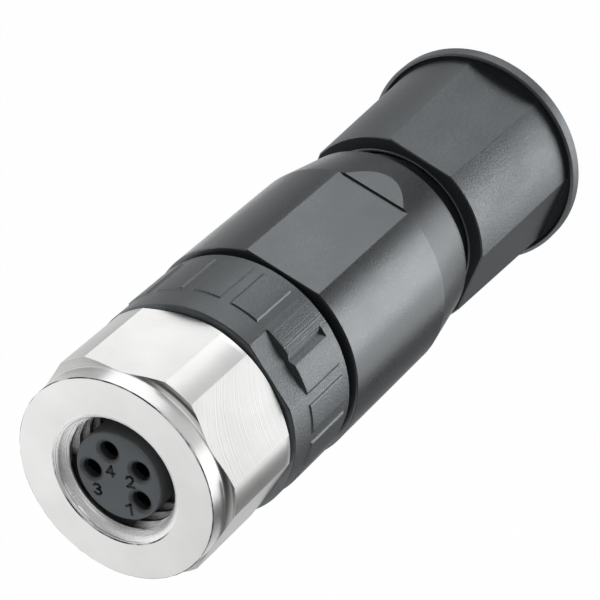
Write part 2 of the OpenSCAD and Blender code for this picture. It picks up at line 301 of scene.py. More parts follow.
def angle_from(angle, middle):
    """Signed angle from a middle, between -180 and 180."""
    return (angle - middle + 180) % 360 - 180


def pad_height(angle, z):
    """Share of the pads' height at an angle and height on the grip."""
    up = 0.0
    for lo, hi in PADS:
        inside = (hi - lo) / 2 - abs(angle_from(angle, (lo + hi) / 2))
        if inside > -PAD_SIDE:
            side = smooth_step((inside + PAD_SIDE) / (2 * PAD_SIDE))
            end = min(z - PAD_FROM, PAD_TO - z)
            up = max(up, side * smooth_step((end + PAD_END) / (2 * PAD_END)))
    return up


def grip_outside(angle, z):
    """Radius of the grip's outside at an angle and height."""
    r = GRIP_R + (PAD_R - GRIP_R) * pad_height(angle, z)
    off = angle_from(angle, MARK_TURN)
    if abs(off) >= MARK_REACH:
        return r
    across = abs(math.radians(off)) * PAD_R
    rear = smooth_step((z - PAD_FROM - MARK_REAR) / MARK_REAR_EDGE)
    r = min(r, PAD_R - MARK_FALL * max(0.0, MARK_WIDE / 2 - across) * rear)
    flat = (GRIP_R - MARK_FLAT) / math.cos(math.radians(off))
    front = 1 - (1 - clamped((z - PAD_TO + 0.02) / MARK_FOOT)) ** 3
    return r + min(0.0, flat - r) * front


def grip_angles():
    """Angles of the columns: even ones, and more at the edges of the pads and of the mark."""
    angles = [1.5 * k for k in range(240)]
    for pad in PADS:
        angles += [edge + d * PAD_SIDE for edge in pad for d in (-1.0, -0.6, -0.2, 0.2, 0.6, 1.0)]
    flat = flat_half(GRIP_R, GRIP_R - MARK_FLAT)
    groove = math.degrees(MARK_WIDE / 2 / PAD_R)
    for edge in (-flat, -groove, 0, groove, flat):
        angles += [MARK_TURN + edge + d for d in (-0.25, -0.08, 0, 0.08, 0.25)]
    kept = []
    for angle in sorted(set(round(a % 360, 3) for a in angles)):
        if not kept or angle - kept[-1] > 0.05:
            kept.append(angle)
    return kept


def grip_heights():
    """Heights of the outside's rows from the top down, closest at the ends of the pads and of the groove."""
    zs = [GRIP_TOP - 0.09, 34.9, 34.6, 34.2, 33.8, 33.0, 32.4, 31.8, 31.2, 30.6, 30.2, 29.4, 29.2]
    for end in (PAD_TO, PAD_FROM + 0.18, PAD_FROM):
        for d in (5.6, 4.4, 3.4, 2.6, 1.9, 1.5, 1.2, 0.8, 0.4, 0, -0.4, -0.8, -1.2):
            zs.append(end + d * PAD_END)
    return sorted(set(round(z, 4) for z in zs), reverse=True)


def run_out(z, low, high, length):
    """Share that fades a thread out at both of its ends."""
    return min(1.0, (high - z) / length, (z - low) / length)


def grip_columns():
    nose = [
        (NOSE_BORE, NOSE_TOP - 0.03), (NOSE_BORE + 0.04, NOSE_TOP),
        (NOSE_R - 0.05, NOSE_TOP), (NOSE_R, NOSE_TOP - 0.05),
        (NOSE_R, RING_GROOVE_TOP + 0.01), (RING_GROOVE_R, RING_GROOVE_TOP),
        (RING_GROOVE_R, RING_GROOVE_Z), (NOSE_R, RING_GROOVE_Z - 0.01),
        (NOSE_R, GRIP_TOP + 0.09), (NOSE_R + 0.05, GRIP_TOP + 0.01), (4.7, GRIP_TOP), (5.6, GRIP_TOP),
    ]
    shoulder = [
        (6.3, GRIP_Z), (SKIRT_R + 0.05, GRIP_Z), (SKIRT_R, GRIP_Z - 0.04),
        (SKIRT_R, SKIRT_THREAD_TOP + 0.04), (SKIRT_R - 0.02, SKIRT_THREAD_TOP - 0.01),
    ]
    inside = [
        (SKIRT_R - 0.02, SKIRT_THREAD_Z + 0.02), (SKIRT_R, SKIRT_THREAD_Z - 0.05),
        (SKIRT_R, SKIRT_Z + 0.08), (SKIRT_R - 0.07, SKIRT_Z), (SKIRT_BORE + 0.05, SKIRT_Z),
        (SKIRT_BORE, SKIRT_Z + 0.05), (SKIRT_BORE, 29.0), (SKIRT_BORE, SKIRT_FLOOR - 0.11),
        (SKIRT_BORE - 0.05, SKIRT_FLOOR), (NOSE_BORE + 0.06, SKIRT_FLOOR), (NOSE_BORE, SKIRT_FLOOR + 0.04),
    ]
    rows = grip_heights()
    thread = heights(SKIRT_THREAD_TOP - 0.02, SKIRT_THREAD_Z + 0.04, 0.06)
    top_edge, low_edge = 0.08, 0.07
    columns = []
    for angle in grip_angles():
        top = grip_outside(angle, GRIP_TOP) - top_edge
        low = grip_outside(angle, GRIP_Z) - low_edge
        column = nose + quarter(top, GRIP_TOP - top_edge, top_edge, 90, 4)
        column += [(grip_outside(angle, z), z) for z in rows]
        column += quarter(low, GRIP_Z + low_edge, low_edge, 0, 4) + shoulder
        for z in thread:
            fade = run_out(z, SKIRT_THREAD_Z, SKIRT_THREAD_TOP, SKIRT_RUN_OUT)
            up = SKIRT_THREAD_DEPTH * thread_height(angle, z, SKIRT_PITCH) * fade
            column.append((SKIRT_THREAD_R + up, z))
        column += inside
        columns.append([(angle, r, z) for r, z in column])
    return columns


grip = turned("grip_shell", grip_columns(), "front")
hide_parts("grip_body")


# Rear housing: sleeve with two marking flats, a taper and a threaded neck

NECK_Z, HOUSING_TOP = node_heights("rear_housing")
HOUSING_Z, TAPER_TOP = 13.77, 17.90
HOUSING_R, TAPER_R = 7.0, 6.33
# The marking flats step out where the taper begins
FLAT_DIST, FLAT_STEP, FLAT_TURN = 6.56, 0.12, -90
COUNTERBORE_R = 5.96
ROOM_R, ROOM_Z, ROOM_TOP = 5.40, 14.37, 24.97
THROAT_R = 3.05
NECK_R, NECK_BORE, NECK_FLOOR = 5.35, 4.20, 12.42
NECK_THREAD_R, NECK_THREAD_DEPTH, NECK_PITCH = 5.05, 0.28, 1.0
NECK_THREAD_Z, NECK_THREAD_TOP, NECK_RUN_OUT = 6.60, 12.76, 0.15
# Half angle of the columns where the flats have run out
HOUSING_SPACING = 1.2


def housing_outside(z):
    if z >= TAPER_TOP:
        return HOUSING_R
    return TAPER_R + (HOUSING_R - TAPER_R) * (z - HOUSING_Z) / (TAPER_TOP - HOUSING_Z)


def housing_flat(z):
    return FLAT_DIST if z > TAPER_TOP else FLAT_DIST + FLAT_STEP


def housing_column(place):
    """One column, from the front counterbore over the outside and the neck back through the inside."""
    wide = flat_half(HOUSING_R, FLAT_DIST)
    front = [(COUNTERBORE_R, z) for z in (25.1, 26.5, 27.8, HOUSING_TOP - 0.08)]
    front += [(r, HOUSING_TOP) for r in (COUNTERBORE_R + 0.07, 6.3, 6.5)]
    column = [place.plain(r, z, wide) for r, z in front]
    edge = 0.10
    for r, z in quarter(HOUSING_R - edge, HOUSING_TOP - edge, edge, 90, 5):
        column.append(place.cut(r, z, FLAT_DIST - (HOUSING_R - r) * 0.8, wide))
    zs = [HOUSING_TOP - 0.12, 28.2, 27.5, 26.5, 25, 23, 21, 19.5, 18.6, 18.2, 18.0]
    zs += [TAPER_TOP + d for d in (0.03, 0.005, -0.005, -0.04)]
    zs += heights(17.8, 15.75, 0.1) + [15.4, 15.0, 14.6, 14.2, 13.95]
    for z in zs:
        r, dist = housing_outside(z), housing_flat(z)
        half = flat_half(max(r, dist + 0.002), dist)
        column.append(place.cut(r, z, dist, max(half, HOUSING_SPACING)))
    edge = 0.12
    rear = quarter(TAPER_R + 0.015 - edge, HOUSING_Z + edge, edge, 0, 4)
    rear += [
        (5.9, HOUSING_Z), (NECK_R + 0.07, HOUSING_Z), (NECK_R, HOUSING_Z - 0.07), (NECK_R, 13.1),
        (NECK_R, NECK_THREAD_TOP + 0.06), (NECK_R - 0.03, NECK_THREAD_TOP + 0.01),
    ]
    angle = place.middle + place.off(HOUSING_SPACING)
    for z in heights(NECK_THREAD_TOP - 0.04, NECK_THREAD_Z + 0.06, 0.07):
        fade = run_out(z, NECK_THREAD_Z, NECK_THREAD_TOP, NECK_RUN_OUT)
        rear.append((NECK_THREAD_R + NECK_THREAD_DEPTH * thread_height(angle, z, NECK_PITCH) * fade, z))
    rear += [
        (NECK_R - 0.03, NECK_THREAD_Z + 0.02), (NECK_R, NECK_THREAD_Z - 0.05), (NECK_R, NECK_Z + 0.1),
        (NECK_R - 0.1, NECK_Z), (NECK_BORE + 0.06, NECK_Z), (NECK_BORE, NECK_Z + 0.06), (NECK_BORE, 9.0),
        (NECK_BORE, NECK_FLOOR - 0.02), (NECK_BORE - 0.02, NECK_FLOOR), (THROAT_R + 0.05, NECK_FLOOR),
        (THROAT_R, NECK_FLOOR + 0.05), (THROAT_R, ROOM_Z - 0.07), (THROAT_R + 0.07, ROOM_Z),
        (ROOM_R - 0.06, ROOM_Z), (ROOM_R, ROOM_Z + 0.06), (ROOM_R, 19.0),
    ]
    column += [place.plain(r, z, HOUSING_SPACING) for r, z in rear]
    ledge = [(ROOM_R, ROOM_TOP - 0.02), (ROOM_R + 0.02, ROOM_TOP), (COUNTERBORE_R - 0.06, ROOM_TOP)]
    return column + [place.plain(r, z, wide) for r, z in ledge]


def housing_columns():
    flat_shares = [-1, -0.985, -0.94, -0.8, -0.6, -0.4, -0.2, 0, 0.2, 0.4, 0.6, 0.8, 0.94, 0.985]
    arc_shares = [0, 0.005, 0.02] + [0.02 + 0.96 * k / 70 for k in range(1, 70)] + [0.98, 0.995]
    return [housing_column(place) for place in stations(2, FLAT_TURN, flat_shares, arc_shares)]


housing = turned("housing_shell", housing_columns(), "housing")
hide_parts("rear_housing")


# Clamp nut: four drafted flats on a cone, and the flange with its raised lip

CLAMP_TOP = node_heights("clamp_nut")[1]
CLAMP_TURN = -1.5
CLAMP_FRONT, CLAMP_REAR = 6.53, 6.90
CLAMP_FLAT_FRONT, CLAMP_FLAT_REAR = 6.14, 6.40
CLAMP_BORE, CLAMP_FLOOR = 5.41, 5.60
# A small lip runs round the mouth of the bore
CLAMP_LIP_R, CLAMP_LIP_HALF, CLAMP_LIP = 5.62, 0.08, 0.035
FLANGE_R, FLANGE_T, FLANGE_LIP = 7.40, 0.60, 0.86
ENTRY_R, ENTRY_TOP, ENTRY_BEVEL = 2.75, 2.90, 0.31
CLAMP_SPACING = 20


def clamp_wall(place, z, out=0.0):
    """Point of the drafted wall at a height, moved outwards by a little."""
    share = (z - FLANGE_T) / (CLAMP_TOP - FLANGE_T)
    r = CLAMP_REAR + (CLAMP_FRONT - CLAMP_REAR) * share
    dist = CLAMP_FLAT_REAR + (CLAMP_FLAT_FRONT - CLAMP_FLAT_REAR) * share
    angle, r, z = place.cut(r, z, dist, flat_half(r, dist))
    return angle, r + out, z


def clamp_column(place):
    """One column, from the bore over the lip, the wall and the flange back through the cable entry."""
    bore = [(CLAMP_BORE, z) for z in (CLAMP_FLOOR + 0.1, 8.0, 10.5, CLAMP_TOP - 0.14)]
    bore += [
        (CLAMP_LIP_R - CLAMP_LIP_HALF, CLAMP_TOP - 0.01), (CLAMP_LIP_R - 0.05, CLAMP_TOP + 0.02),
        (CLAMP_LIP_R, CLAMP_TOP + CLAMP_LIP), (CLAMP_LIP_R + 0.05, CLAMP_TOP + 0.02),
        (CLAMP_LIP_R + CLAMP_LIP_HALF, CLAMP_TOP), (5.8, CLAMP_TOP),
    ]
    column = [place.plain(r, z, CLAMP_SPACING) for r, z in bore]
    edge = 0.12
    column += [clamp_wall(place, z, out) for out, z in quarter(-edge, CLAMP_TOP - edge, edge, 90, 5)]
    for z in (CLAMP_TOP - 0.14, 11.6, 11.0, 10.0, 9.0, 8.0, 7.0, 6.0, 5.0, 4.0, 3.0, 2.0, 1.4, 1.1):
        column.append(clamp_wall(place, z))
    fillet = 0.07
    for back, z in quarter(0, FLANGE_T + fillet, fillet, 0, 5):
        column.append(clamp_wall(place, z, fillet - back))
    edge = 0.07
    flange = [(FLANGE_R - back, FLANGE_T + up) for back, up in ((0.42, 0), (0.38, 0.02))]
    flange += [(FLANGE_R - back, FLANGE_LIP - down) for back, down in ((0.26, 0.04), (0.22, 0.01))]
    flange += quarter(FLANGE_R - edge, FLANGE_LIP - edge, edge, 90, 4) + [(FLANGE_R, 0.4)]
    flange += quarter(FLANGE_R - edge, edge, edge, 0, 4)
    flange += [(r, 0.0) for r in (7.0, 5.0, 3.16)]
    flange += [(ENTRY_R + ENTRY_BEVEL, 0.04), (ENTRY_R + 0.04, ENTRY_BEVEL), (ENTRY_R, ENTRY_BEVEL + 0.05)]
    flange += [(ENTRY_R, 1.6), (ENTRY_R, ENTRY_TOP - 0.06), (ENTRY_R + 0.05, ENTRY_TOP)]
    flange += [(3.36, ENTRY_TOP), (3.42, ENTRY_TOP + 0.02), (4.27, CLAMP_FLOOR - 0.03)]
    flange += [(4.32, CLAMP_FLOOR), (CLAMP_BORE - 0.07, CLAMP_FLOOR)]
    return column + [place.plain(r, z, CLAMP_SPACING) for r, z in flange]


def clamp_columns():
    flat_shares = [-1, -0.985, -0.93, -0.8, -0.6, -0.4, -0.2, 0, 0.2, 0.4, 0.6, 0.8, 0.93, 0.985]
    arc_shares = [0, 0.008, 0.04] + [0.04 + 0.92 * k / 26 for k in range(1, 26)] + [0.96, 0.992]
    return [clamp_column(place) for place in stations(4, CLAMP_TURN, flat_shares, arc_shares)]


clamp = turned("clamp_shell", clamp_columns(), "clamp")
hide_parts("clamp_nut")


# Socket insert: round stem with a shoulder and a foot flange, and a funnel and a room for each contact

FOOT_Z, FACE_Z = node_heights("socket_insert")
INSERT_R, SEAL_GROOVE_R, SHOULDER_R, FOOT_R = 2.75, 2.65, 3.20, 5.05
FOOT_TOP, SHOULDER_TOP, SEAL_TOP = 34.00, 37.05, 37.72
CONTACTS = ((-1.66, 0.80), (-1.05, -1.05), (1.66, 0.80), (1.05, -1.05))
ROOM_HOLE_R, FUNNEL_Z = 0.72, 41.90
# The lead-in of each hole sits a little off its contact, as far as a pin still passes
LEAD_INS = tuple((x - 0.03, y - 0.13) for x, y in CONTACTS)
LEAD_IN_R = 0.785
# Radius, height and share of the way from the contact's axis to the middle of the lead-in
FUNNEL = (
    (0.59, FUNNEL_Z, 0.6), (0.59, FACE_Z - 0.17, 0.7), (0.595, FACE_Z - 0.15, 0.7),
    (0.61, FACE_Z - 0.13, 0.75), (0.745, FACE_Z - 0.04, 0.95), (0.765, FACE_Z - 0.02, 1.0),
    (LEAD_IN_R, FACE_Z, 1.0),
)
STEM = (
    (FOOT_R - 0.07, FOOT_Z), (FOOT_R, FOOT_Z + 0.06), (FOOT_R, FOOT_TOP - 0.06), (FOOT_R - 0.07, FOOT_TOP),
    (SHOULDER_R + 0.02, FOOT_TOP), (SHOULDER_R, FOOT_TOP + 0.03),
    (SHOULDER_R, SHOULDER_TOP - 0.05), (SHOULDER_R - 0.05, SHOULDER_TOP),
    (SEAL_GROOVE_R + 0.05, SHOULDER_TOP + 0.01), (SEAL_GROOVE_R, SHOULDER_TOP + 0.05),
    (SEAL_GROOVE_R, SEAL_TOP - 0.04), (SEAL_GROOVE_R + 0.03, SEAL_TOP - 0.01),
    (INSERT_R - 0.02, SEAL_TOP), (INSERT_R, SEAL_TOP + 0.03), (INSERT_R, 40.0),
    (INSERT_R, FACE_Z - 0.11), (INSERT_R - 0.01, FACE_Z - 0.08), (INSERT_R - 0.05, FACE_Z - 0.02),
    (INSERT_R - 0.06, FACE_Z - 0.01), (INSERT_R - 0.08, FACE_Z),
)


def ring_wall(verts, faces, rows, count):
    """Add the joined rings (x, y, r, z) of a wall, and return the first and the last ring."""
    rings = []
    for cx, cy, r, z in rows:
        start = len(verts)
        for k in range(count):
            t = 2 * math.pi * k / count
            verts.append((cx + r * math.cos(t), cy + r * math.sin(t), z))
        rings.append(list(range(start, start + count)))
    for low, high in zip(rings, rings[1:]):
        for k in range(count):
            m = (k + 1) % count
            faces.append((low[k], low[m], high[m], high[k]))
    return rings[0], rings[-1]


def plate(verts, faces, outer, holes, centres, reach):
    """Add the flat face between an outer ring and the rings of holes, which have centres and a reach."""
    ids = []
    edges = []
    for ring in (outer, *holes):
        start = len(ids)
        ids += ring
        edges += [(start + k, start + (k + 1) % len(ring)) for k in range(len(ring))]
    result = delaunay_2d_cdt([Vector(verts[i][:2]) for i in ids], edges, [], 0, 1e-6)
    for triangle in result[2]:
        own = [ids[result[3][k][0]] for k in triangle]
        x = sum(verts[i][0] for i in own) / 3
        y = sum(verts[i][1] for i in own) / 3
        if all(math.hypot(x - cx, y - cy) > reach for cx, cy in centres):
            faces.append(tuple(own))


def insert_mesh():
    verts = []
    faces = []
    low, high = ring_wall(verts, faces, [(0, 0, r, z) for r, z in STEM], 96)
    ends = []
    for deep, lead in zip(CONTACTS, LEAD_INS):
        rows = [(*deep, ROOM_HOLE_R, z) for z in (FOOT_Z, 37.0, FUNNEL_Z)]
        for r, z, share in FUNNEL:
            x, y = (d + (l - d) * share for d, l in zip(deep, lead))
            rows.append((x, y, r, z))
        ends.append(ring_wall(verts, faces, rows, 40))
    # The reach is a little less than a hole's radius, because its ring is made of straight pieces
    plate(verts, faces, low, [end[0] for end in ends], CONTACTS, ROOM_HOLE_R - 0.0015)
    plate(verts, faces, high, [end[1] for end in ends], LEAD_INS, LEAD_IN_R - 0.002)
    return verts, faces


insert = new_object("insert_shell", *insert_mesh(), "front")
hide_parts("socket_insert")


# Pole numbers on the socket's face, drawn as low raised bars

# Lines of each number in a box one high about its middle
DIGITS = {
    "1": [[(-0.35, 0.25), (0.1, 0.5), (0.1, -0.5)]],
    "2": [[(-0.33, 0.25), (-0.2, 0.45), (0.05, 0.5), (0.28, 0.38), (0.3, 0.15), (0.1, -0.12),
           (-0.33, -0.5), (0.35, -0.5)]],
    "3": [[(-0.32, 0.36), (-0.1, 0.5), (0.15, 0.48), (0.3, 0.3), (0.22, 0.1), (-0.02, 0.03)],
          [(-0.02, 0.03), (0.25, -0.06), (0.34, -0.27), (0.18, -0.46), (-0.1, -0.5), (-0.34, -0.36)]],
    "4": [[(0.38, -0.2), (-0.38, -0.2), (0.16, 0.5), (0.16, -0.5)]],
}
DIGIT_PLACES = {"1": (-1.27, 1.62), "2": (-0.76, -0.17), "3": (0.92, 1.70), "4": (0.53, -0.04)}
DIGIT_TALL, DIGIT_TURN = 0.66, 205
# Half width and height over the face of a bar's foot, its shoulder and its top
BAR_LEVELS = ((0.08, -0.02), (0.08, 0.010), (0.06, 0.025))
BAR_END = 7


def bar_outline(a, b, half):
    """Outline of a bar from a to b with round ends."""
    along = (b - a).normalized()
    side = Vector((-along.y, along.x))
    points = []
    for end, way in ((b, half), (a, -half)):
        for k in range(BAR_END):
            t = math.pi * k / (BAR_END - 1)
            points.append(end + (side * math.cos(t) + along * math.sin(t)) * way)
    return points


def number(digit):
    """One pole number, upright towards the marking flat."""
    verts = []
    faces = []
    t = math.radians(DIGIT_TURN)
    across = Vector((math.cos(t), math.sin(t))) * DIGIT_TALL
    up = Vector((-math.sin(t), math.cos(t))) * DIGIT_TALL
    ring = 2 * BAR_END
    for line in DIGITS[digit]:
        points = [Vector(DIGIT_PLACES[digit]) + across * x + up * y for x, y in line]
        for a, b in zip(points, points[1:]):
            start = len(verts)
            for half, height in BAR_LEVELS:
                verts += [(*p, FACE_Z + height) for p in bar_outline(a, b, half)]
            for low in (start, start + ring):
                for k in range(ring):
                    m = (k + 1) % ring
                    faces.append((low + k, low + m, low + ring + m, low + ring + k))
            faces.append(tuple(range(start, start + ring)))
            faces.append(tuple(range(start + 2 * ring, start + 3 * ring)))
    obj = new_object("number_" + digit, verts, faces, "front")
    return obj


numbers = [number(digit) for digit in "1234"]


# Shader helpers

class Graph:
    """Shader nodes of a material or the world, each made and linked by one call that returns its output."""

    def __init__(self, tree):
        self.nodes = tree.nodes
        self.links = tree.links

    def feed(self, socket, value):
        """Link a socket to an output, or give it a constant."""
        if isinstance(value, bpy.types.NodeSocket):
            self.links.new(value, socket)
        else:
            socket.default_value = value

    def calc(self, operation, *terms):
        """Math on outputs and numbers."""
        node = self.nodes.new("ShaderNodeMath")
        node.operation = operation
        for socket, term in zip(node.inputs, terms):
            self.feed(socket, term)
        return node.outputs[0]

    def product(self, first, *others):
        for other in others:
            first = self.calc("MULTIPLY", first, other)
        return first

    def measure(self, operation, vector, other=(0, 0, 0)):
        """Length, distance or dot product of a vector."""
        node = self.nodes.new("ShaderNodeVectorMath")
        node.operation = operation
        self.links.new(vector, node.inputs[0])
        node.inputs[1].default_value = other
        return node.outputs["Value"]

    def where(self, scale=(1, 1, 1)):
        """Place on the object, scaled along each axis."""
        coord = self.nodes.new("ShaderNodeTexCoord")
        mapping = self.nodes.new("ShaderNodeMapping")
        mapping.inputs["Scale"].default_value = scale
        self.links.new(coord.outputs["Object"], mapping.inputs["Vector"])
        return mapping.outputs["Vector"]

    def axes(self):
        """The place's x, y and z."""
        split = self.nodes.new("ShaderNodeSeparateXYZ")
        self.links.new(self.where(), split.inputs["Vector"])
        return tuple(split.outputs)

    def radius(self):
        """Distance from the object's axis."""
        return self.measure("LENGTH", self.where((1, 1, 0)))

    def noise(self, scale, detail=2, roughness=0.5, stretch=(1, 1, 1)):
        node = self.nodes.new("ShaderNodeTexNoise")
        node.inputs["Scale"].default_value = scale
        node.inputs["Detail"].default_value = detail
        node.inputs["Roughness"].default_value = roughness
        self.links.new(self.where(stretch), node.inputs["Vector"])
        return node.outputs["Fac"]

    def strands(self, value, scale, detail):
        """Irregular fine lines along one coordinate."""
        node = self.nodes.new("ShaderNodeTexNoise")
        node.noise_dimensions = "1D"
        node.inputs["Scale"].default_value = scale
        node.inputs["Detail"].default_value = detail
        self.links.new(value, node.inputs["W"])
        return node.outputs["Fac"]

    def span(self, value, start, end, low=0.0, high=1.0, kind="LINEAR"):
        """Low at the start, high at the end and in between on the way."""
        node = self.nodes.new("ShaderNodeMapRange")
        node.interpolation_type = kind
        node.inputs["From Min"].default_value = start
        node.inputs["From Max"].default_value = end
        node.inputs["To Min"].default_value = low
        node.inputs["To Max"].default_value = high
        self.links.new(value, node.inputs["Value"])
        return node.outputs["Result"]

    def mix(self, share, first, second):
        """Number that goes from the first to the second with a share."""
        node = self.nodes.new("ShaderNodeMix")
        for name, value in (("Factor", share), ("A", first), ("B", second)):
            self.feed(node.inputs[name], value)
        return node.outputs["Result"]

    def tint(self, share, first, second, clamp=True):
        """Colour that goes from the first to the second with a share."""
        node = self.nodes.new("ShaderNodeMix")
        node.data_type = "RGBA"
        node.clamp_factor = clamp
        self.links.new(share, node.inputs["Factor"])
        for name, color in (("A", first), ("B", second)):
            self.feed(node.inputs[name], (*color, 1) if isinstance(color, tuple) else color)
        return node.outputs["Result"]

    def bump(self, height, strength, depth):
        node = self.nodes.new("ShaderNodeBump")
        node.inputs["Strength"].default_value = strength
        node.inputs["Distance"].default_value = depth * MM
        self.links.new(height, node.inputs["Height"])
        return node.outputs["Normal"]

    def within(self, value, low, high):
        """One where a length lies between two others, and zero elsewhere."""
        return self.calc("COMPARE", value, (low + high) / 2 * MM, (high - low) / 2 * MM)

    def below(self, value, limit):
        return self.calc("LESS_THAN", value, limit * MM)

    def above(self, value, limit):
        return self.calc("GREATER_THAN", value, limit * MM)

    def in_holes(self, places, radius, top):
        """One inside any of the round holes below a height, and zero elsewhere."""
        inside = 0.0
        for x, y in places:
            away = self.measure("DISTANCE", self.where((1, 1, 0)), (x * MM, y * MM, 0))
            inside = self.calc("MAXIMUM", inside, self.below(away, radius))
        return self.product(inside, self.below(self.axes()[2], top))


def material(name):
    """A new material, its graph and the inputs of its principled shader."""
    mat = bpy.data.materials.new(name)
    mat.use_nodes = True
    return mat, Graph(mat.node_tree), mat.node_tree.nodes["Principled BSDF"].inputs


# Moulded plastic and rubber

GRAIN_DEPTH = 0.04
COOL_SHINE = (0.90, 0.965, 1.0, 1)


def plastic(name, dark, light, rough, level, grain=1.0, ior=1.5, grain_scale=9000, shade=None, relief=None):
    """Plastic with flow clouds and a fine eroded grain. Shade and relief change its colour and its grain."""
    mat, graph, bsdf = material(name)
    fine = graph.noise(grain_scale, 3)
    cloud = graph.noise(420, 5, 0.65, (1, 1, 0.5))
    color = graph.tint(cloud, dark, light)
    height = fine
    if shade:
        color = shade(graph, color)
    if relief:
        height = relief(graph, fine)
    graph.feed(bsdf["Base Color"], color)
    spread = graph.calc("ADD", fine, cloud)
    graph.feed(bsdf["Roughness"], graph.span(spread, 0.5, 1.5, rough - 0.10, rough + 0.10))
    graph.feed(bsdf["Normal"], graph.bump(height, min(1.0, 0.25 * grain), GRAIN_DEPTH))
    bsdf["Specular IOR Level"].default_value = level
    bsdf["IOR"].default_value = ior
    bsdf["Specular Tint"].default_value = COOL_SHINE
    return mat


def clamp_painted_light(graph, color):
    """The small lip at the clamp's mouth and the rim of its flange are coloured paler, as painted highlight
    and painted light.
    """
    lip = graph.product(graph.within(graph.radius(), CLAMP_LIP_R - 0.06, CLAMP_LIP_R + 0.04),
                        graph.within(graph.axes()[2], CLAMP_TOP + 0.012, CLAMP_TOP + 0.1))
    rim = graph.product(graph.within(graph.radius(), FLANGE_R - 0.2, FLANGE_R + 0.1),
                        graph.within(graph.axes()[2], -0.1, FLANGE_LIP + 0.1))
    # Painted highlight on the lip, and painted light on the flange's rim
    color = graph.tint(lip, color, (0.12, 0.13, 0.135))
    return graph.tint(rim, color, (0.050, 0.053, 0.056))


def insert_painted_shade(graph, color):
    """Painted shade: the lead-ins darken with their depth, and the holes below them are darker still."""
    depth = graph.span(graph.axes()[2], (FACE_Z - 0.02) * MM, (FACE_Z - 0.12) * MM)
    # Painted shade down the lead-ins
    color = graph.tint(depth, color, (0.038, 0.039, 0.039))
    # Painted shade in the holes
    holes = graph.in_holes(LEAD_INS, 0.68, FACE_Z - 0.25)
    return graph.tint(holes, color, (0.012, 0.0145, 0.0155))


def grip_relief(graph, height):
    """Fine lines along the axis, worn into the pads beside the keying mark."""
    worn_from, worn_to = 237, 253
    x, y, z = graph.axes()
    turn = graph.calc("ARCTAN2", y, x)
    middle = math.radians((worn_from + worn_to) / 2 - 360)
    near = graph.calc("COMPARE", turn, middle, math.radians((worn_to - worn_from) / 2))
    lines = graph.product(graph.strands(turn, 70, 2), near, graph.below(z, PAD_TO))
    return graph.calc("MULTIPLY_ADD", lines, 0.8, height)


grey = plastic("grey_plastic", (0.011, 0.012, 0.0135), (0.015, 0.0165, 0.018), 0.31, 1.0, 0.7, 1.65)
clamp_grey = plastic("clamp_plastic", (0.010, 0.011, 0.0125), (0.018, 0.0195, 0.021), 0.50, 1.0, 2.4, 1.81,
                     grain_scale=7000, shade=clamp_painted_light)
# Black plastic that paints shade on the clamp's front and in the groove behind its flange rim
clamp_painted_shade = plastic("clamp_painted_shade", (0.018, 0.020, 0.022), (0.024, 0.0265, 0.0285), 0.60, 0.25)
grip_grey = plastic("grip_plastic", (0.013, 0.014, 0.0155), (0.018, 0.0195, 0.021), 0.44, 1.0, 2.8, 1.78,
                    relief=grip_relief)
face_grey = plastic("insert_plastic", (0.051, 0.058, 0.0635), (0.0635, 0.072, 0.078), 0.50, 0.5,
                    shade=insert_painted_shade)
carrier_grey = plastic("carrier_plastic", (0.040, 0.045, 0.050), (0.050, 0.056, 0.062), 0.50, 0.5)
ink = plastic("number_dark", (0.008, 0.008, 0.009), (0.012, 0.012, 0.013), 0.6, 0.3)
rubber = plastic("seal_rubber", (0.006, 0.006, 0.006), (0.012, 0.012, 0.012), 0.6, 0.4)
pale = plastic("pale_plastic", (0.60, 0.60, 0.57), (0.68, 0.68, 0.65), 0.5, 0.5)


# Metals

# Reach of the cutter's arcs on the nut's flats, and how far their centres wander from flat to flat
CUTTER_R, CUTTER_SHIFT = 6.4, 2.2
# Colour of the broken dark patches on the front edges
EDGE_DARK = (0.03, 0.03, 0.03)
# Colour of the painted shade deep in one side of the thread
THREAD_SHADE = (0.08, 0.08, 0.08)


def milling(graph):
    """Mask of the nut's flats, and the fine arcs that the cutter left on them."""
    x, y, z = graph.axes()
    radius = graph.radius()
    sixth = math.radians(360 / NUT_FLATS)
    angle = graph.calc("SUBTRACT", graph.calc("ARCTAN2", y, x), math.radians(NUT_TURN))
    index = graph.calc("FLOOR", graph.calc("DIVIDE", angle, sixth))
    local = graph.calc("SUBTRACT", graph.calc("FLOORED_MODULO", angle, sixth), sixth / 2)
    along = graph.product(radius, graph.calc("COSINE", local))
    across = graph.product(radius, graph.calc("SINE", local))
    on_flat = graph.within(along, NUT_FLAT - 0.015, NUT_FLAT + 0.015)
    # The cutter sweeps each flat about a slightly different centre
    centre = graph.product(graph.calc("SINE", graph.product(index, 2.6)), CUTTER_SHIFT * MM)
    reach = graph.calc("SUBTRACT", across, centre)
    sweep = graph.calc("SQRT", graph.calc("SUBTRACT", (CUTTER_R * MM) ** 2, graph.product(reach, reach)))
    drift = graph.product(graph.noise(600), 0.4 * MM)
    arcs = graph.strands(graph.calc("ADD", graph.calc("SUBTRACT", z, sweep), drift), 7500, 3)
    return on_flat, arcs


